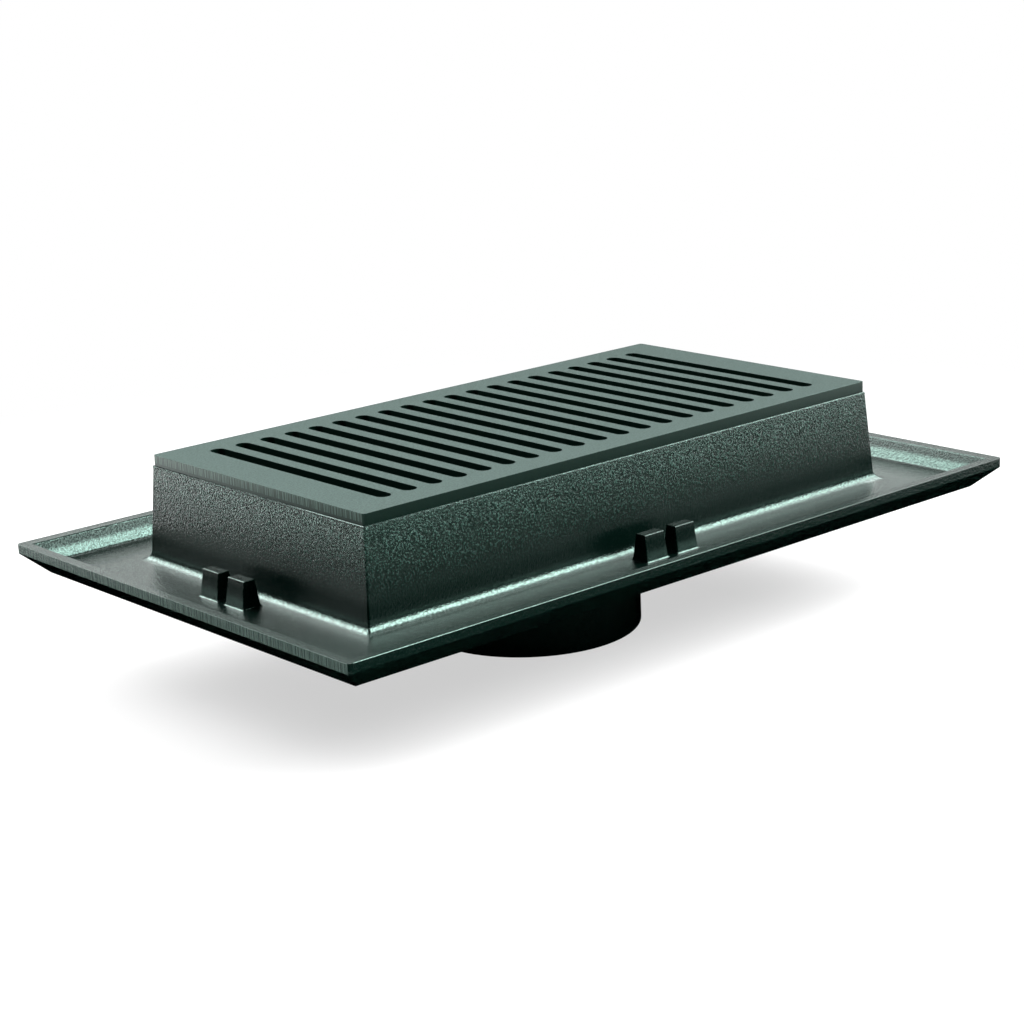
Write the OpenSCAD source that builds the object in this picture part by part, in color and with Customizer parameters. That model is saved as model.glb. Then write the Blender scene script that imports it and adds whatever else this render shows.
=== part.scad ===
// Cast-iron floor drain: a slotted grate that rests on a drafted box, with a wide tray
// flange round the box and a plain round spigot outlet below it.
// Millimetres, +Z up. The origin is the centre of the spigot's lower end, X runs along the drain.

/* [Grate] */
// Length of the grate
grate_l = 300; // [240:5:400]
// Width of the grate
grate_w = 150; // [130:5:200]
// Thickness of the grate's plate, as its edge shows it
plate_t = 5; // [4:0.5:8]
// Radius of the plate's corners, seen from above
plate_corner_r = 1.5; // [0.5:0.5:5]
// Number of slots
slot_count = 20; // [8:1:24]
// Width of a slot at the top face
slot_w = 7; // [5:0.5:8]
// Draft of the slots, which widen downwards, in degrees
slot_draft = 3; // [1:0.5:4]
// Solid margin between the end slots and the plate's short edges
end_margin = 19.5; // [16:0.5:30]
// Solid margin between the slots' tips and the plate's long edges
side_margin = 13.5; // [12:0.5:20]
// How far the bars and the locating rim hang below the plate
bar_drop = 7; // [4:0.5:12]
// Width of the locating rim under the plate
locating_t = 5; // [3:0.5:6]
// Gap between the locating rim and the inside of the box
locating_gap = 1; // [0.5:0.25:2]

/* [Box] */
// Height of the box above the floor of the flange
box_h = 42.7; // [30:0.1:80]
// How far the box's rim stands outside the plate's edge
rim_step = 0.4; // [0:0.1:2]
// Thickness of the box's wall at its rim
wall_t = 5.2; // [4:0.1:8]
// Draft of the box's outside, in degrees
wall_draft = 4; // [1:0.5:6]
// Draft of the box's inside, which narrows downwards, in degrees
inner_draft = 1; // [0.5:0.5:2]
// Radius of the rim's outer edge
rim_r = 1; // [0.5:0.1:1.5]
// Radius of the fillet between the box and the flange
foot_r = 4.5; // [1:0.5:6]
// Radius of the fillet at the bottom of the sump
sump_r = 4; // [1:0.5:8]
// Fall of the sump's floor from the walls to the outlet
sump_fall = 2; // [0.5:0.5:5]

/* [Flange] */
// How far the flange reaches outside the plate's edge
flange_w = 46; // [38:1:80]
// Thickness of the flange's floor
floor_t = 5.3; // [4:0.1:8]
// Height of the upturned lip above the flange's floor
lip_h = 8.6; // [5:0.1:15]
// Thickness of the lip at its top
lip_t = 5.2; // [3:0.1:7]
// Height of the upright band round the outside of the lip
band_h = 4; // [2:0.5:5]
// How far the lip's inner face leans out over its height
lip_lean = 6.8; // [3:0.1:10]
// How far the sloped underside of the lip reaches in
skirt_run = 10.5; // [6:0.5:16]
// Radius of the fillet between the flange's floor and its lip
lip_foot_r = 3; // [1:0.5:5]
// Radius of the flange's corners, seen from above
flange_corner_r = 2.5; // [1:0.5:4]

/* [Lugs] */
// Height of a lug above the flange's floor
lug_h = 11.9; // [8:0.1:18]
// Width of a lug along its side of the box, at the top
lug_w = 11.4; // [8:0.1:16]
// Thickness of a lug towards the box, at the top
lug_t = 5.5; // [3:0.1:8]
// Gap between the two lugs of a pair, at the top
lug_gap = 7; // [6:0.1:20]
// Draft of a lug's sides, in degrees
lug_side_draft = 3; // [1:1:5]
// Draft of a lug's front and back, in degrees
lug_face_draft = 9; // [1:1:10]
// Radius of the fillet at a lug's foot
lug_foot_r = 1.2; // [0.5:0.1:1.5]
// Radius of a lug's top edges
lug_top_r = 0.6; // [0.2:0.1:1.2]
// Distance from the foot of the box's wall to the middle of a lug
lug_setback = 11.7; // [10:0.1:18]

/* [Outlet] */
// Outside diameter of the spigot
spigot_d = 103; // [75:1:110]
// Length of the spigot below the flange
spigot_l = 45.5; // [30:0.5:120]
// Wall of the spigot
spigot_t = 5; // [4:0.5:8]
// Chamfer on the outer edge of the spigot's end
spigot_chamfer = 1; // [0.5:0.5:2]
// Radius of the fillet between the spigot and the flange's underside
spigot_foot_r = 3; // [1:0.5:6]
// Radius of the edge where the sump's floor turns down into the outlet
mouth_r = 3; // [1:0.5:4]

/* [Hidden] */
$fn = 96;
body_colour = "#1f2a28";
grate_colour = "#46524f";
sides = [-1, 1];
// What a cut runs past a face, and what a boss sinks into the casting that carries it
past = 1;

// Heights, from the spigot's end upwards
floor_z = spigot_l + floor_t;
rim_z = floor_z + box_h;
top_z = rim_z + plate_t;
lip_z = floor_z + lip_h;
bars_z = rim_z - bar_drop;

// The box and the flange, each as half sizes along X and Y
plate_half = [grate_l / 2, grate_w / 2];
rim_half = [for (a = plate_half) a + rim_step];
foot_half = [for (a = rim_half) a + box_h * tan(wall_draft)];
opening_half = [for (a = rim_half) a - wall_t];
flange_half = [for (a = plate_half) a + flange_w];
spigot_r = spigot_d / 2;
bore_r = spigot_r - spigot_t;
mouth_reach = bore_r + 2 * mouth_r;
form_reach = 2 * flange_half[0] + 2 * past;

// The slots
slot_pitch = (grate_l - 2 * end_margin - slot_w) / (slot_count - 1);
slot_first = -slot_pitch * (slot_count - 1) / 2;
slot_tip = plate_half[1] - side_margin;

// An outline whose corners are true arcs. Points run anticlockwise, with a radius for each.
function step(points, i) = points[(i + len(points)) % len(points)];
function along(a, b) = (b - a) / norm(b - a);
function turn(points, i) =
    let (u = along(step(points, i - 1), points[i]), v = along(points[i], step(points, i + 1)))
    u[0] * v[1] - u[1] * v[0];
function half_angle(points, i) =
    let (u = along(points[i], step(points, i - 1)), v = along(points[i], step(points, i + 1)))
    acos(u * v) / 2;
function arc_ends(points, radii, i) =
    let (
        p = points[i],
        u = along(p, step(points, i - 1)),
        v = along(p, step(points, i + 1)),
        t = radii[i] / tan(half_angle(points, i))
    )
    radii[i] > 0 ? [p + t * u, p + t * v] : [p];
function arc_centre(points, radii, i) =
    let (
        p = points[i],
        u = along(p, step(points, i - 1)),
        v = along(p, step(points, i + 1))
    )
    p + (u + v) / norm(u + v) * radii[i] / sin(half_angle(points, i));

module arc_outline(points, radii) {
    difference() {
        union() {
            polygon([for (i = [0 : len(points) - 1]) each arc_ends(points, radii, i)]);
            arcs(points, radii, 1);
        }
        arcs(points, radii, -1);
    }
}

// The circles of the outward corners, or of the inward ones
module arcs(points, radii, way) {
    for (i = [0 : len(points) - 1])
        if (radii[i] > 0 && turn(points, i) * way > 0)
            translate(arc_centre(points, radii, i)) circle(r = radii[i]);
}

// A form with a section of its own along X and along Y, mitred where the two meet
module mitred_form() {
    intersection() {
        rotate([90, 0, 0]) linear_extrude(form_reach, center = true) children(0);
        rotate([90, 0, 90]) linear_extrude(form_reach, center = true) children(1);
    }
}

// Section of a boss with drafted sides, a rounded top edge and a filleted foot at height 0
module boss_section(half, h, draft, top_r, fillet_r) {
    foot = half + h * tan(draft);
    skirt = foot + 2 * fillet_r;
    arc_outline(
        [[-skirt, -past], [skirt, -past], [skirt, 0], [foot, 0], [half, h],
         [-half, h], [-foot, 0], [-skirt, 0]],
        [0, 0, 0, fillet_r, top_r, top_r, fillet_r, 0]
    );
}

// The outside of the box
module box_outside() {
    translate([0, 0, floor_z]) mitred_form() {
        boss_section(rim_half[0], box_h, wall_draft, rim_r, foot_r);
        boss_section(rim_half[1], box_h, wall_draft, rim_r, foot_r);
    }
}

// Section of the sump: drafted walls, filleted foot and a floor that falls to the outlet
module sump_section(half) {
    foot = half - (box_h - sump_fall) * tan(inner_draft);
    arc_outline(
        [[-mouth_reach, floor_z], [mouth_reach, floor_z], [foot, floor_z + sump_fall], [half, rim_z],
         [half, rim_z + past], [-half, rim_z + past], [-half, rim_z], [-foot, floor_z + sump_fall]],
        [0, 0, sump_r, 0, 0, 0, 0, sump_r]
    );
}

module sump() {
    mitred_form() {
        sump_section(opening_half[0]);
        sump_section(opening_half[1]);
    }
}

// Section of the flange's outside: flat underside, sloped skirt and upright band
module tray_section(half) {
    polygon([
        [-half + skirt_run, spigot_l], [half - skirt_run, spigot_l], [half, lip_z - band_h],
        [half, lip_z], [-half, lip_z], [-half, lip_z - band_h]
    ]);
}

// Section of the hollow inside the upturned lip
module tray_hollow_section(half) {
    top = half - lip_t;
    foot = top - lip_lean;
    arc_outline(
        [[-foot, floor_z], [foot, floor_z], [top, lip_z], [top, lip_z + past],
         [-top, lip_z + past], [-top, lip_z]],
        [lip_foot_r, lip_foot_r, 0, 0, 0, 0]
    );
}

// A rectangle with rounded corners, given by its half sizes
module rounded_rectangle(half, r) {
    corners = [[-1, -1], [1, -1], [1, 1], [-1, 1]];
    arc_outline([for (c = corners) [c[0] * half[0], c[1] * half[1]]], [for (c = corners) r]);
}

module tray() {
    difference() {
        intersection() {
            mitred_form() {
                tray_section(flange_half[0]);
                tray_section(flange_half[1]);
            }
            linear_extrude(lip_z + past) rounded_rectangle(flange_half, flange_corner_r);
        }
        mitred_form() {
            tray_hollow_section(flange_half[0]);
            tray_hollow_section(flange_half[1]);
        }
    }
}

// One lug, with its foot on the origin and its face towards Y
module lug() {
    mitred_form() {
        boss_section(lug_w / 2, lug_h, lug_side_draft, lug_top_r, lug_foot_r);
        boss_section(lug_t / 2, lug_h, lug_face_draft, lug_top_r, lug_foot_r);
    }
}

// The pair of lugs that stands in the middle of a side, out from the wall's foot
module lug_pair(wall_foot) {
    for (s = sides)
        translate([s * (lug_gap + lug_w) / 2, wall_foot + lug_setback, floor_z]) lug();
}

module lugs() {
    for (turn_z = [0, 180]) {
        rotate(turn_z) lug_pair(foot_half[1]);
        rotate(turn_z + 90) lug_pair(foot_half[0]);
    }
}

// The spigot's outside, with the fillet that joins it to the flange's underside
module spigot_outside() {
    rotate_extrude() arc_outline(
        [[0, 0], [spigot_r - spigot_chamfer, 0], [spigot_r, spigot_chamfer], [spigot_r, spigot_l],
         [spigot_r + 2 * spigot_foot_r, spigot_l], [spigot_r + 2 * spigot_foot_r, spigot_l + past],
         [0, spigot_l + past]],
        [0, 0, 0, spigot_foot_r, 0, 0, 0]
    );
}

// The way out of the sump, with a rounded mouth in its floor
module outlet() {
    rotate_extrude() arc_outline(
        [[0, -past], [bore_r, -past], [bore_r, floor_z], [mouth_reach, floor_z],
         [mouth_reach, rim_z], [0, rim_z]],
        [0, 0, mouth_r, 0, 0, 0]
    );
}

// The body, one casting
module body() {
    color(body_colour) difference() {
        union() {
            tray();
            box_outside();
            lugs();
            spigot_outside();
        }
        sump();
        outlet();
    }
}

// The grate's flat plate, which lies on the box's rim
module plate() {
    translate([0, 0, rim_z]) linear_extrude(plate_t) rounded_rectangle(plate_half, plate_corner_r);
}

// The rim under the plate that keeps the grate in place inside the box
module locating_rim() {
    outer = [for (a = opening_half) 2 * (a - locating_gap)];
    inner = [for (a = outer) a - 2 * locating_t];
    translate([0, 0, bars_z]) linear_extrude(bar_drop + past) difference() {
        square(outer, center = true);
        square(inner, center = true);
    }
}

// The block that the slots turn into bars, from the first slot's middle to the last one's
module bar_block() {
    reach = opening_half[1] - locating_gap - locating_t / 2;
    translate([slot_first, -reach, bars_z]) cube([-2 * slot_first, 2 * reach, bar_drop + past]);
}

// One slot, cut right through, with round ends and walls that lean apart downwards
module slot() {
    depth = plate_t + bar_drop + 2 * past;
    top_r = slot_w / 2 - past * tan(slot_draft);
    low_r = top_r + depth * tan(slot_draft);
    round_y = slot_tip - slot_w / 2;
    translate([0, 0, top_z + past - depth]) {
        for (s = sides)
            translate([0, s * round_y, 0]) cylinder(h = depth, r1 = low_r, r2 = top_r);
        rotate([90, 0, 0]) linear_extrude(2 * round_y, center = true)
            polygon([[-low_r, 0], [low_r, 0], [top_r, depth], [-top_r, depth]]);
    }
}

// The grate, one casting, lifted out by hand
module grate() {
    color(grate_colour) difference() {
        union() {
            plate();
            locating_rim();
            bar_block();
        }
        for (i = [0 : slot_count - 1]) translate([slot_first + i * slot_pitch, 0, 0]) slot();
    }
}

body();
grate();
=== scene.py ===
"""A rectangular cast-iron floor drain with a loose slotted grate, dressed and lit as a studio picture."""

import logging
import math
from dataclasses import dataclass

import bmesh
import bpy
from mathutils import Matrix, Vector


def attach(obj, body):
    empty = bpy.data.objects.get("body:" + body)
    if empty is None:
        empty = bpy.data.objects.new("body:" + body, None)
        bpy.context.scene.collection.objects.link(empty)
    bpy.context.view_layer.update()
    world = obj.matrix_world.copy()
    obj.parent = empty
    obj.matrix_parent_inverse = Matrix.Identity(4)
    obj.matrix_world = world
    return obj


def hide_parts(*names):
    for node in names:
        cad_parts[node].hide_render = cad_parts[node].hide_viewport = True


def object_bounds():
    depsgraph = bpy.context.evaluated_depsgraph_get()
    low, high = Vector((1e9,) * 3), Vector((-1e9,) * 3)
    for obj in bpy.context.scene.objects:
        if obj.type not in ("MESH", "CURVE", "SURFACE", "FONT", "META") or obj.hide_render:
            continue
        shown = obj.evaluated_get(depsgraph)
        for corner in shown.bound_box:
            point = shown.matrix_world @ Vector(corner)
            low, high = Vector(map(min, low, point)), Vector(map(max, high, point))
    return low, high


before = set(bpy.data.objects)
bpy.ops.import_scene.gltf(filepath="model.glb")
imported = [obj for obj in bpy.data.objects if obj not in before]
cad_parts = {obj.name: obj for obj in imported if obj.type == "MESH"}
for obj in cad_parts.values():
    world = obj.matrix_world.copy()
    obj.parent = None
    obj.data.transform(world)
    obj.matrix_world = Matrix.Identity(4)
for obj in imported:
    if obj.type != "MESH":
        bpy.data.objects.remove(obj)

CAD_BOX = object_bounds()
LOG = logging.getLogger("floor_drain")
MM = 0.001
WHITE = (1.0, 1.0, 1.0, 1.0)


def linear(colour: str) -> tuple[float, float, float, float]:
    """Turns an sRGB hex colour into a linear one.

    Args:
        colour: the colour as "#RRGGBB".

    Returns:
        Linear red, green, blue and an alpha of 1.
    """
    channels = [int(colour[at : at + 2], 16) / 255 for at in (1, 3, 5)]
    made = [c / 12.92 if c <= 0.04045 else ((c + 0.055) / 1.055) ** 2.4 for c in channels]
    return (*made, 1.0)


def per_mm(size: float) -> float:
    """Gives the texture scale at which one cell of a pattern measures size millimetres."""
    return 1 / (size * MM)


def below_top(depth: float) -> float:
    """Gives the height, in metres, that lies depth millimetres below the top of the grate."""
    return CAD_BOX[1].z - depth * MM


def direction(azimuth: float, elevation: float) -> Vector:
    """Gives a direction out from the drain.

    Args:
        azimuth: degrees round the drain, from -Y towards +X.
        elevation: degrees above the floor.

    Returns:
        The direction, with a length of 1.
    """
    a, e = math.radians(azimuth), math.radians(elevation)
    return Vector((math.sin(a) * math.cos(e), -math.cos(a) * math.cos(e), math.sin(e)))


def add_node(
    tree: bpy.types.NodeTree,
    kind: str,
    settings: dict[str, object] | None = None,
    inputs: dict[str | int, object] | None = None,
) -> bpy.types.Node:
    """Adds a node with its settings and links.

    Args:
        tree: the node tree to add to.
        kind: the node's type name.
        settings: the node's properties by name.
        inputs: what each input holds or is linked from, by the input's name or number.

    Returns:
        The new node.
    """
    made = tree.nodes.new(kind)
    for name, value in (settings or {}).items():
        setattr(made, name, value)
    for name, value in (inputs or {}).items():
        if isinstance(value, bpy.types.NodeSocket):
            tree.links.new(value, made.inputs[name])
        else:
            made.inputs[name].default_value = value
    return made


def new_material(name: str) -> bpy.types.Material:
    """Makes an empty material with nodes under the given name."""
    material = bpy.data.materials.new(name)
    material.use_nodes = True
    material.node_tree.nodes.clear()
    return material


def deselect_all() -> None:
    """Leaves edit mode, if it is on, and deselects every object."""
    if bpy.context.object and bpy.context.object.mode != "OBJECT":
        bpy.ops.object.mode_set(mode="OBJECT")
    bpy.ops.object.select_all(action="DESELECT")


@dataclass(frozen=True)
class SurfacePlace:
    """The readings of a surface that the finishes share: its place and which way it faces."""

    tree: bpy.types.NodeTree

    def math(self, operation: str, *values: object) -> bpy.types.NodeSocket:
        """Adds a math node.

        Args:
            operation: the node's operation.
            values: its inputs in order, numbers or sockets.

        Returns:
            The node's result.
        """
        settings = {"operation": operation}
        return add_node(self.tree, "ShaderNodeMath", settings, dict(enumerate(values))).outputs[0]

    def product(self, first: bpy.types.NodeSocket, *others: object) -> bpy.types.NodeSocket:
        """Multiplies readings with each other.

        Args:
            first: the first reading.
            others: what it is multiplied by, numbers or sockets.

        Returns:
            The product.
        """
        for other in others:
            first = self.math("MULTIPLY", first, other)
        return first

    def ramp(
        self, value: object, low: float, high: float, start: object = 0.0, end: object = 1.0
    ) -> bpy.types.NodeSocket:
        """Turns a reading that runs from low to high smoothly into one from start to end.

        Args:
            value: the reading.
            low: where the change begins.
            high: where it is complete.
            start: the result up to low, a number or a socket.
            end: the result from high on, a number or a socket.

        Returns:
            The new reading.
        """
        settings = {"interpolation_type": "SMOOTHSTEP"}
        inputs = {"Value": value, "From Min": low, "From Max": high, "To Min": start, "To Max": end}
        return add_node(self.tree, "ShaderNodeMapRange", settings, inputs).outputs["Result"]

    def axes(self, vector: bpy.types.NodeSocket) -> list[bpy.types.NodeSocket]:
        """Splits a vector into its X, Y and Z."""
        return list(add_node(self.tree, "ShaderNodeSeparateXYZ", inputs={0: vector}).outputs)

    def place(self) -> bpy.types.NodeSocket:
        """Gives the place on the piece, in metres."""
        return add_node(self.tree, "ShaderNodeTexCoord").outputs["Object"]

    def facing(self) -> bpy.types.NodeSocket:
        """Gives the direction that the solid's face looks in, without any bump."""
        return add_node(self.tree, "ShaderNodeNewGeometry").outputs["True Normal"]

    def climb(
        self, span: tuple[float, float], start: float = 0.0, end: float = 1.0
    ) -> bpy.types.NodeSocket:
        """Goes smoothly from start to end with the height.

        Args:
            span: the lower and the upper place of the change, in millimetres below the grate's top.
            start: the reading below the span.
            end: the reading above it.

        Returns:
            The reading.
        """
        low, high = (below_top(depth) for depth in span)
        _, _, height = self.axes(self.place())
        return self.ramp(height, low, high, start, end)

    def away(self, middle: tuple[float, float, float]) -> bpy.types.NodeSocket:
        """Gives how far the place is from the middle.

        Args:
            middle: the point to measure from, in metres.

        Returns:
            The distance, in metres.
        """
        settings = {"operation": "DISTANCE"}
        inputs = {0: self.place(), 1: middle}
        return add_node(self.tree, "ShaderNodeVectorMath", settings, inputs).outputs["Value"]

    def near_ends(self, piece: bpy.types.Object, reach: float) -> bpy.types.NodeSocket:
        """Marks the two ends of a piece along X.

        Args:
            piece: the piece, which is symmetric about X.
            reach: how far in from each end the mark goes, in millimetres.

        Returns:
            1 on the ends and 0 elsewhere.
        """
        end = max(vert.co.x for vert in piece.data.vertices)
        along, _, _ = self.axes(self.place())
        return self.math("GREATER_THAN", self.math("ABSOLUTE", along), end - reach * MM)

    def noise(self, size: float, detail: float = 2.0, roughness: float = 0.5) -> bpy.types.NodeSocket:
        """Gives a grey noise pattern.

        Args:
            size: the size of its lumps, in millimetres.
            detail: how many finer patterns lie over it.
            roughness: how strongly they show.

        Returns:
            The tone, from 0 to 1.
        """
        inputs = {"Vector": self.place(), "Scale": per_mm(size), "Detail": detail, "Roughness": roughness}
        return add_node(self.tree, "ShaderNodeTexNoise", inputs=inputs).outputs["Fac"]

    def strokes(self, size: float) -> bpy.types.NodeSocket:
        """Gives upright strokes along the castings' upright edges.

        Args:
            size: about how far apart they are, in millimetres.

        Returns:
            The tone, from 0 to 1.
        """
        x, y, _ = self.axes(self.place())
        across_x, across_y, _ = self.axes(self.facing())
        along = self.math(
            "ADD",
            self.product(x, self.math("ABSOLUTE", across_y)),
            self.product(y, self.math("ABSOLUTE", across_x)),
        )
        settings = {"noise_dimensions": "1D"}
        inputs = {"W": along, "Scale": per_mm(size), "Detail": 1.0}
        return add_node(self.tree, "ShaderNodeTexNoise", settings, inputs).outputs["Fac"]

    def blend(self, share: object, first: object, second: object) -> bpy.types.NodeSocket:
        """Mixes two colours, from all of the first at a share of 0 to all of the second at 1."""
        inputs = {0: share, 6: first, 7: second}
        return add_node(self.tree, "ShaderNodeMix", {"data_type": "RGBA"}, inputs).outputs[2]


@dataclass(frozen=True)
class CoatedSandCasting:
    """Sand-cast grey iron dipped in black bitumen varnish.

    The dip leaves a deep green-black gloss, and the sand leaves a pebbled skin that breaks it up.
    The gloss is darkened as painted shade in the skin's hollows, low on the walls and on every underside.
    Lengths are in millimetres. Each span of heights is two depths below the grate's top.
    """

    name: str = "bitumen_coated_sand_cast_iron"
    coat: str = "#04120E"
    worn_coat: str = "#1A2F29"
    gloss: str = "#C2F0E2"
    # painted shade: the dark tint that the gloss takes in the hollows, low on the walls and on undersides
    dull: str = "#1C2B27"
    band_colour: str = "#44534E"
    ior: float = 1.8
    wall_roughness: float = 0.16
    foot_roughness: float = 0.22
    # the pebbled skin, and how much of its relief is left low on the walls and at their foot
    pebble: float = 0.9
    pebble_depth: float = 0.6
    pebble_sharpness: float = 0.6
    low_wall_relief: float = 0.4
    foot_relief: float = 0.3
    fine_grain: float = 0.7
    fine_depth: float = 0.06
    # painted shade: the share of the gloss that is left low on the walls, in the hollows, and in the
    # hollows of level faces
    painted_shade_gloss_low: float = 0.1
    painted_shade_gloss_in_hollows: float = 0.12
    painted_shade_gloss_in_level_hollows: float = 0.55
    # the spans of heights; below the last two the gloss is darkened as painted shade
    foot: tuple[float, float] = (45.0, 41.0)
    sandy_wall: tuple[float, float] = (42.5, 18.5)
    painted_low_wall_shade_span: tuple[float, float] = (33.5, 4.5)
    painted_skirt_shade_span: tuple[float, float] = (54.5, 52.7)
    # the upward parts of a face's direction between which it becomes level, or no underside; undersides get
    # painted shade on their gloss
    level: tuple[float, float] = (0.5, 0.9)
    painted_underside_shade_range: tuple[float, float] = (-0.5, -0.1)
    # the pattern's tones between which hollows (whose gloss is darkened as painted shade), worn tops and
    # strokes begin and end
    painted_hollow_shade_tones: tuple[float, float] = (0.4, 0.6)
    top_tones: tuple[float, float] = (0.5, 0.66)
    stroke_tones: tuple[float, float] = (0.35, 0.65)
    # the strokes on the upright bands at the flange's two short sides
    band_reach: float = 0.5
    stroke_gap: float = 0.8
    faint_stroke: float = 0.3

    def build(self, piece: bpy.types.Object) -> bpy.types.Material:
        """Builds the material.

        Args:
            piece: the piece that gets it, whose ends carry the strokes.

        Returns:
            The material, for the box, the flange, the lugs and the spigot.
        """
        material = new_material(self.name)
        tree = material.node_tree
        at = SurfacePlace(tree)
        _, _, up = at.axes(at.facing())
        foot = at.climb(self.foot, 1.0, 0.0)
        smooth = at.math("MAXIMUM", at.ramp(at.math("ABSOLUTE", up), *self.level), foot)
        sandy = at.climb(self.sandy_wall)
        pebbles = at.noise(self.pebble, roughness=self.pebble_sharpness)
        skin = add_node(
            tree,
            "ShaderNodeBsdfPrincipled",
            inputs={
                "Base Color": self.colour(at, piece, pebbles, sandy),
                "Roughness": at.ramp(foot, 0.0, 1.0, self.wall_roughness, self.foot_roughness),
                "IOR": self.ior,
                "Specular Tint": self.gloss_with_painted_shade(at, pebbles, smooth, up),
                "Normal": self.relief(at, pebbles, smooth, sandy),
            },
        )
        add_node(tree, "ShaderNodeOutputMaterial", inputs={"Surface": skin.outputs["BSDF"]})
        return material

    def relief(
        self,
        at: SurfacePlace,
        pebbles: bpy.types.NodeSocket,
        smooth: bpy.types.NodeSocket,
        sandy: bpy.types.NodeSocket,
    ) -> bpy.types.NodeSocket:
        """Raises the pebbled skin, with a fine grain over it.

        Args:
            at: the readings of the surface.
            pebbles: the pebbles' tone.
            smooth: 1 where the surface is level or at the walls' foot.
            sandy: 1 where the wall is sandiest, near its top.

        Returns:
            The bumped normal.
        """
        on_wall = at.ramp(sandy, 0.0, 1.0, self.low_wall_relief, 1.0)
        strength = at.ramp(smooth, 0.0, 1.0, on_wall, self.foot_relief)
        skin = {"Strength": strength, "Distance": self.pebble_depth * MM, "Height": pebbles}
        coarse = add_node(at.tree, "ShaderNodeBump", inputs=skin).outputs["Normal"]
        grain = {
            "Strength": 1.0,
            "Distance": self.fine_depth * MM,
            "Height": at.noise(self.fine_grain),
            "Normal": coarse,
        }
        return add_node(at.tree, "ShaderNodeBump", inputs=grain).outputs["Normal"]

    def gloss_with_painted_shade(
        self,
        at: SurfacePlace,
        pebbles: bpy.types.NodeSocket,
        smooth: bpy.types.NodeSocket,
        up: bpy.types.NodeSocket,
    ) -> bpy.types.NodeSocket:
        """Gives the tint of the varnish's gloss, darkened as painted shade in the pebbles' hollows, low on
        the walls, on undersides and below the flange's skirt.

        Args:
            at: the readings of the surface.
            pebbles: the pebbles' tone.
            smooth: 1 where the surface is level or at the walls' foot.
            up: the upward part of the face's direction.

        Returns:
            The tint.
        """
        # painted shade: the gloss is darkened low on the walls, in the pebbles' hollows, on undersides and
        # below the flange's skirt
        on_wall = at.climb(self.painted_low_wall_shade_span, self.painted_shade_gloss_low, 1.0)
        painted_hollow_shade = at.ramp(smooth, 0.0, 1.0, self.painted_shade_gloss_in_hollows, self.painted_shade_gloss_in_level_hollows)
        share = at.product(
            at.ramp(smooth, 0.0, 1.0, on_wall, 1.0),
            at.ramp(pebbles, *self.painted_hollow_shade_tones, painted_hollow_shade, 1.0),
            at.ramp(up, *self.painted_underside_shade_range, self.painted_shade_gloss_low, 1.0),
            at.climb(self.painted_skirt_shade_span, self.painted_shade_gloss_low, 1.0),
        )
        return at.blend(share, linear(self.dull), linear(self.gloss))

    def colour(
        self,
        at: SurfacePlace,
        piece: bpy.types.Object,
        pebbles: bpy.types.NodeSocket,
        sandy: bpy.types.NodeSocket,
    ) -> bpy.types.NodeSocket:
        """Gives the varnish's colour: worn on the pebbles' tops, and stroked on the end bands.

        Args:
            at: the readings of the surface.
            piece: the piece whose ends carry the strokes.
            pebbles: the pebbles' tone.
            sandy: 1 where the wall is sandiest, near its top.

        Returns:
            The colour.
        """
        tops = at.product(at.ramp(pebbles, *self.top_tones), sandy)
        varnish = at.blend(tops, linear(self.coat), linear(self.worn_coat))
        strokes = at.ramp(at.strokes(self.stroke_gap), *self.stroke_tones, self.faint_stroke, 1.0)
        band = at.product(at.near_ends(piece, self.band_reach), strokes)
        return at.blend(band, varnish, linear(self.band_colour))


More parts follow.
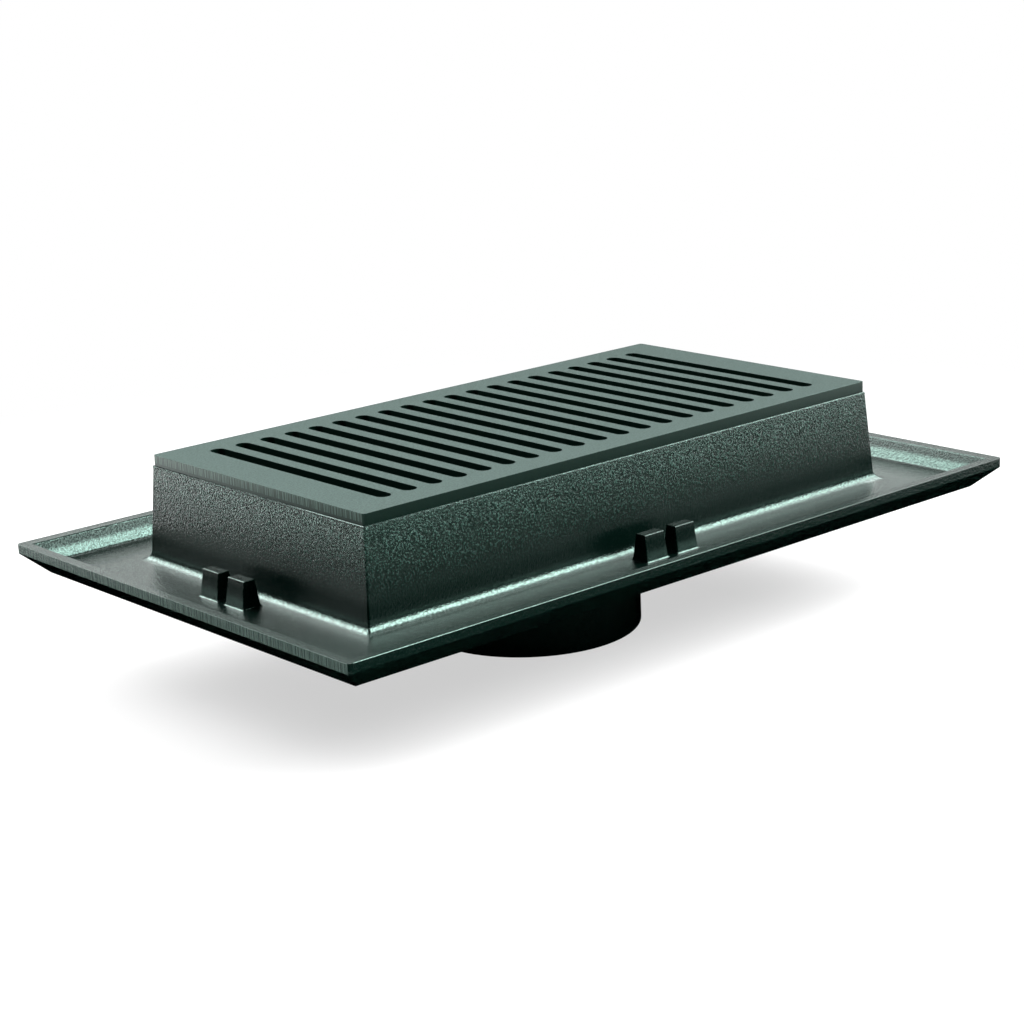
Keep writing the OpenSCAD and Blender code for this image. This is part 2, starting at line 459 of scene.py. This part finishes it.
@dataclass(frozen=True)
class GroundCasting:
    """Grey iron ground flat and coated thinly.

    Grinding leaves a satin metal top with a fine grain, and upright strokes on the short edges.
    The edges and the slots' walls keep a dull dark coat. Lengths are in millimetres.
    """

    name: str = "ground_and_coated_cast_iron"
    # the metal's colour and the tint of its glancing reflections, in the grain's light and dark parts
    ground_iron: str = "#455450"
    dark_speck: str = "#2D3835"
    light_glint: str = "#F0FFFB"
    dark_glint: str = "#D9E8E4"
    edge_coat: str = "#04140F"
    edge_gloss: str = "#86ABA0"
    stroke_colour: str = "#33473F"
    ior: float = 1.5
    roughness: float = 0.3
    grain: float = 0.8
    grain_depth: float = 0.02
    grain_tones: tuple[float, float] = (0.4, 0.6)
    # the parts of a face's direction, up or along X, between which it becomes the top or an end
    facing_up: tuple[float, float] = (0.6, 0.95)
    facing_end: tuple[float, float] = (0.8, 0.95)
    # the strokes reach this far in from the ends and this far below the top
    stroke_reach: float = 1.0
    stroke_drop: float = 3.6
    stroke_gap: float = 1.0
    stroke_tones: tuple[float, float] = (0.45, 0.6)

    def build(self, piece: bpy.types.Object) -> bpy.types.Material:
        """Builds the material.

        Args:
            piece: the piece that gets it, whose ends carry the strokes.

        Returns:
            The material, for the grate.
        """
        material = new_material(self.name)
        tree = material.node_tree
        at = SurfacePlace(tree)
        _, _, up = at.axes(at.facing())
        top = at.ramp(up, *self.facing_up)
        specks = at.ramp(at.noise(self.grain), *self.grain_tones)
        ground = at.blend(specks, linear(self.ground_iron), linear(self.dark_speck))
        glints = at.blend(specks, linear(self.light_glint), linear(self.dark_glint))
        edge = at.blend(self.stroked(at, piece), linear(self.edge_coat), linear(self.stroke_colour))
        grit = add_node(
            tree,
            "ShaderNodeBump",
            inputs={
                "Strength": 1.0,
                "Distance": self.grain_depth * MM,
                "Height": at.noise(self.grain, detail=3.0),
            },
        )
        skin = add_node(
            tree,
            "ShaderNodeBsdfPrincipled",
            inputs={
                "Base Color": at.blend(top, edge, ground),
                "Metallic": top,
                "Roughness": self.roughness,
                "IOR": self.ior,
                "Specular Tint": at.blend(top, linear(self.edge_gloss), glints),
                "Normal": grit.outputs["Normal"],
            },
        )
        add_node(tree, "ShaderNodeOutputMaterial", inputs={"Surface": skin.outputs["BSDF"]})
        return material

    def stroked(self, at: SurfacePlace, piece: bpy.types.Object) -> bpy.types.NodeSocket:
        """Gives where the strokes of the grinding show.

        Args:
            at: the readings of the surface.
            piece: the piece whose ends carry the strokes.

        Returns:
            1 on a stroke and 0 elsewhere.
        """
        across_x, _, _ = at.axes(at.facing())
        _, _, height = at.axes(at.place())
        return at.product(
            at.ramp(at.math("ABSOLUTE", across_x), *self.facing_end),
            at.near_ends(piece, self.stroke_reach),
            at.math("GREATER_THAN", height, below_top(self.stroke_drop)),
            at.ramp(at.strokes(self.stroke_gap), *self.stroke_tones),
        )


@dataclass(frozen=True)
class Casting:
    """One casting: the frame's solid with its sharp edges eased, as the mould and the dip leave them.

    Lengths are in millimetres and angles in degrees. The reach of the eased corners is two depths
    below the grate's top.
    """

    node: str
    piece: str
    slot: str
    finish: CoatedSandCasting | GroundCasting
    edge_ease: float
    edge_steps: int = 2
    corner_ease: float = 0.0
    corner_steps: int = 3
    corner_reach: tuple[float, float] = (48.5, 5.8)
    outward_angle: float = 5.0
    mitre_gap: float = 0.05
    sharp_angle: float = 32.0
    weld_gap: float = 0.004
    flat_angle: float = 0.6
    smallest_face: float = 1.0

    def build(self) -> bpy.types.Object:
        """Copies the solid, joins its triangles into faces and rounds its sharp edges.

        Returns:
            The finished piece, which stands for the solid.
        """
        deselect_all()
        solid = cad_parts[self.node]
        made = solid.copy()
        made.data = solid.data.copy()
        made.name = made.data.name = self.piece
        for key in [k for k in made.keys() if k.startswith("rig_")]:
            del made[key]
        bpy.context.scene.collection.objects.link(made)
        made.parent = None
        made.select_set(True)
        bpy.context.view_layer.objects.active = made
        bpy.ops.mesh.customdata_custom_splitnormals_clear()
        bpy.ops.object.mode_set(mode="EDIT")
        bpy.ops.mesh.select_all(action="SELECT")
        bpy.ops.mesh.remove_doubles(threshold=self.weld_gap * MM)
        bpy.ops.mesh.dissolve_limited(angle_limit=math.radians(self.flat_angle), delimit={"NORMAL"})
        if self.corner_ease:
            self.select_upright_corners(made)
            self.round_selected(self.corner_ease, self.corner_steps)
        self.select_crisp_edges(made)
        self.round_selected(self.edge_ease, self.edge_steps)
        bpy.ops.object.mode_set(mode="OBJECT")
        bpy.ops.object.shade_smooth_by_angle(angle=math.radians(self.sharp_angle))
        even = made.modifiers.new("even_flats", "WEIGHTED_NORMAL")
        even.keep_sharp = True
        bpy.ops.object.modifier_apply(modifier=even.name)
        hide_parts(self.node)
        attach(made, "root")
        made.data.materials.clear()
        made.data.materials.append(self.finish.build(made))
        LOG.info("%s: %d faces", self.piece, len(made.data.polygons))
        return made

    def round_selected(self, ease: float, steps: int) -> None:
        """Rounds the selected edges by ease millimetres, in that many steps."""
        bpy.ops.mesh.bevel(offset=ease * MM, segments=steps, affect="EDGES", clamp_overlap=False)

    def select_upright_corners(self, made: bpy.types.Object) -> None:
        """Selects the box's outward upright corners, which lie where its mitred sides meet.

        Args:
            made: the piece, in edit mode.
        """
        bpy.ops.mesh.select_mode(type="EDGE")
        bpy.ops.mesh.select_all(action="DESELECT")
        mesh = bmesh.from_edit_mesh(made.data)
        tip = CAD_BOX[1]
        low, high = (below_top(depth) for depth in self.corner_reach)
        for edge in mesh.edges:
            ends = [vert.co for vert in edge.verts]
            off_mitre = max(abs(abs(end.x) - abs(end.y) - tip.x + tip.y) for end in ends)
            below_rim = all(low < end.z < high for end in ends)
            outward = edge.is_manifold and edge.calc_face_angle_signed(0) > math.radians(self.outward_angle)
            edge.select = off_mitre < self.mitre_gap * MM and below_rim and outward
        bmesh.update_edit_mesh(made.data)

    def select_crisp_edges(self, made: bpy.types.Object) -> None:
        """Selects the outward sharp edges between faces that are large enough to be rounded.

        Args:
            made: the piece, in edit mode.
        """
        bpy.ops.mesh.select_mode(type="EDGE")
        bpy.ops.mesh.select_all(action="DESELECT")
        mesh = bmesh.from_edit_mesh(made.data)
        sharp, smallest = math.radians(self.sharp_angle), self.smallest_face * MM * MM
        for edge in mesh.edges:
            turned = edge.is_manifold and edge.calc_face_angle_signed(0) > sharp
            edge.select = turned and min(face.calc_area() for face in edge.link_faces) > smallest
        bmesh.update_edit_mesh(made.data)


@dataclass(frozen=True)
class StudioCamera:
    """The viewpoint of the picture, measured from the centre of the grate's top.

    Angles are in degrees, distances in metres, and the lens and the sensor in millimetres.
    """

    azimuth: float = -40.853
    elevation: float = 15.548
    roll: float = -2.57
    distance: float = 1.0341
    slide_right: float = -0.0046
    slide_up: float = -0.0435
    lens: float = 79.88
    sensor: float = 36.0
    nearest: float = 0.05
    furthest: float = 50.0

    def build(self) -> bpy.types.Object:
        """Adds the camera and makes it the scene's.

        Returns:
            The camera.
        """
        back = direction(self.azimuth, self.elevation)
        level = direction(self.azimuth + 90, 0)
        upright = back.cross(level).normalized()
        roll = math.radians(self.roll)
        right = math.cos(roll) * level + math.sin(roll) * upright
        up = math.cos(roll) * upright - math.sin(roll) * level
        low, high = CAD_BOX
        centre = Vector(((low.x + high.x) / 2, (low.y + high.y) / 2, high.z))
        deselect_all()
        bpy.ops.object.camera_add()
        camera = bpy.context.object
        camera.name = "studio_camera"
        camera.matrix_world = Matrix.Translation(
            centre + back * self.distance + right * self.slide_right + up * self.slide_up
        ) @ Matrix((right, up, back)).transposed().to_4x4()
        camera.data.lens = self.lens
        camera.data.sensor_width = self.sensor
        camera.data.clip_start, camera.data.clip_end = self.nearest, self.furthest
        bpy.context.scene.camera = camera
        return camera


@dataclass(frozen=True)
class StudioFloor:
    """A white sheet that the drain stands on.

    The camera sees it as white away from the drain, and near the drain it keeps a soft shadow.
    For the coat's reflections its far part glows as a painted reflection, and its near part, where the
    drain stands over it, is black as a painted shadow.
    Lengths are in metres.
    """

    width: float = 16.0
    colour: str = "#F7F7F7"
    shown_near: float = 0.6
    shown_from: float = 0.25
    shown_full: float = 0.6
    shown_middle: tuple[float, float, float] = (0.0, 0.0, 0.0)
    # painted reflection and painted shadow: the glow that the coat's reflections see, black near the middle
    # and full far out
    painted_reflection_glow: float = 4.8
    painted_reflection_from: float = 0.5
    painted_reflection_full: float = 0.63
    painted_reflection_middle: tuple[float, float, float] = (0.0, -0.1, 0.0)

    def build(self) -> bpy.types.Object:
        """Adds the floor.

        Returns:
            The floor.
        """
        deselect_all()
        bpy.ops.mesh.primitive_plane_add(size=self.width, location=(0, 0, CAD_BOX[0].z))
        floor = bpy.context.object
        floor.name = "white_floor"
        material = new_material("white_paper")
        tree = material.node_tree
        at = SurfacePlace(tree)
        path = add_node(tree, "ShaderNodeLightPath").outputs
        by_camera, by_mirror = path["Is Camera Ray"], path["Is Glossy Ray"]
        whiteness = at.ramp(
            at.away(self.shown_middle), self.shown_from, self.shown_full, self.shown_near, 1.0
        )
        # painted reflection, seen only by glossy rays, black near the drain as a painted shadow
        painted_reflection_strength = at.ramp(
            at.away(self.painted_reflection_middle), self.painted_reflection_from, self.painted_reflection_full, 0.0, self.painted_reflection_glow
        )
        strength = at.math("ADD", by_camera, at.product(by_mirror, painted_reflection_strength))
        paper = add_node(tree, "ShaderNodeBsdfDiffuse", inputs={"Color": linear(self.colour)})
        white = add_node(tree, "ShaderNodeEmission", inputs={"Color": WHITE, "Strength": strength})
        both = add_node(
            tree,
            "ShaderNodeMixShader",
            inputs={
                0: at.math("ADD", at.product(by_camera, whiteness), by_mirror),
                1: paper.outputs[0],
                2: white.outputs[0],
            },
        )
        add_node(tree, "ShaderNodeOutputMaterial", inputs={"Surface": both.outputs[0]})
        floor.data.materials.append(material)
        return floor


@dataclass(frozen=True)
class SoftLamp:
    """A flat soft box that faces the drain, given by the part of the sky that it fills.

    Angles are in degrees and the distance in metres.
    """

    name: str
    azimuth: float
    elevation: float
    across: float
    upright: float
    radiance: float
    distance: float = 4.0

    def build(self, target: Vector) -> bpy.types.Object:
        """Adds the lamp.

        Args:
            target: the point that it faces.

        Returns:
            The lamp.
        """
        back = direction(self.azimuth, self.elevation)
        width, height = (
            2 * self.distance * math.tan(math.radians(angle / 2)) for angle in (self.across, self.upright)
        )
        deselect_all()
        bpy.ops.object.light_add(type="AREA", location=target + back * self.distance)
        lamp = bpy.context.object
        lamp.name = self.name
        lamp.rotation_euler = back.to_track_quat("Z", "Y").to_euler()
        lamp.data.shape = "RECTANGLE"
        lamp.data.size, lamp.data.size_y = width, height
        lamp.data.energy = self.radiance * math.pi * width * height
        return lamp


@dataclass(frozen=True)
class StudioLight:
    """The soft boxes and the pale room round them.

    Each box is given by its azimuth, elevation, width and height in degrees, and its radiance.
    """

    room: float = 0.03
    lamps: tuple[SoftLamp, ...] = (
        SoftLamp("front_right_box", 42, 43, 32, 34, 18.0),
        SoftLamp("right_box", 88, 38, 48, 26, 7.5),
        SoftLamp("back_right_box", 139, 38, 40, 20, 2.6),
        SoftLamp("low_back_right_box", 139, 20, 36, 14, 1.8),
        SoftLamp("back_box", 180, 34, 40, 24, 3.0),
        SoftLamp("left_back_box", 206, 46, 44, 34, 10.0),
    )

    def build(self) -> None:
        """Adds the lamps and sets the world, which the camera sees as white."""
        low, high = CAD_BOX
        for lamp in self.lamps:
            lamp.build((low + high) / 2)
        world = bpy.data.worlds.new("white_room")
        bpy.context.scene.world = world
        world.use_nodes = True
        tree = world.node_tree
        tree.nodes.clear()
        by_camera = add_node(tree, "ShaderNodeLightPath").outputs["Is Camera Ray"]
        room = add_node(tree, "ShaderNodeBackground", inputs={"Color": WHITE, "Strength": self.room})
        white = add_node(tree, "ShaderNodeBackground", inputs={"Color": WHITE, "Strength": 1.0})
        both = add_node(
            tree, "ShaderNodeMixShader", inputs={0: by_camera, 1: room.outputs[0], 2: white.outputs[0]}
        )
        add_node(tree, "ShaderNodeOutputWorld", inputs={"Surface": both.outputs[0]})


def main() -> None:
    """Builds the drain and its studio in order."""
    logging.basicConfig(level=logging.INFO, format="%(message)s")
    bpy.context.scene.view_settings.view_transform = "Standard"
    StudioCamera().build()
    coated, ground = CoatedSandCasting(), GroundCasting()
    Casting("body", "body_casting", "coated_casting", coated, edge_ease=0.5, corner_ease=0.9).build()
    Casting("grate", "grate_casting", "coated_grate", ground, edge_ease=0.2).build()
    StudioFloor().build()
    StudioLight().build()


if __name__ == "__main__":
    main()
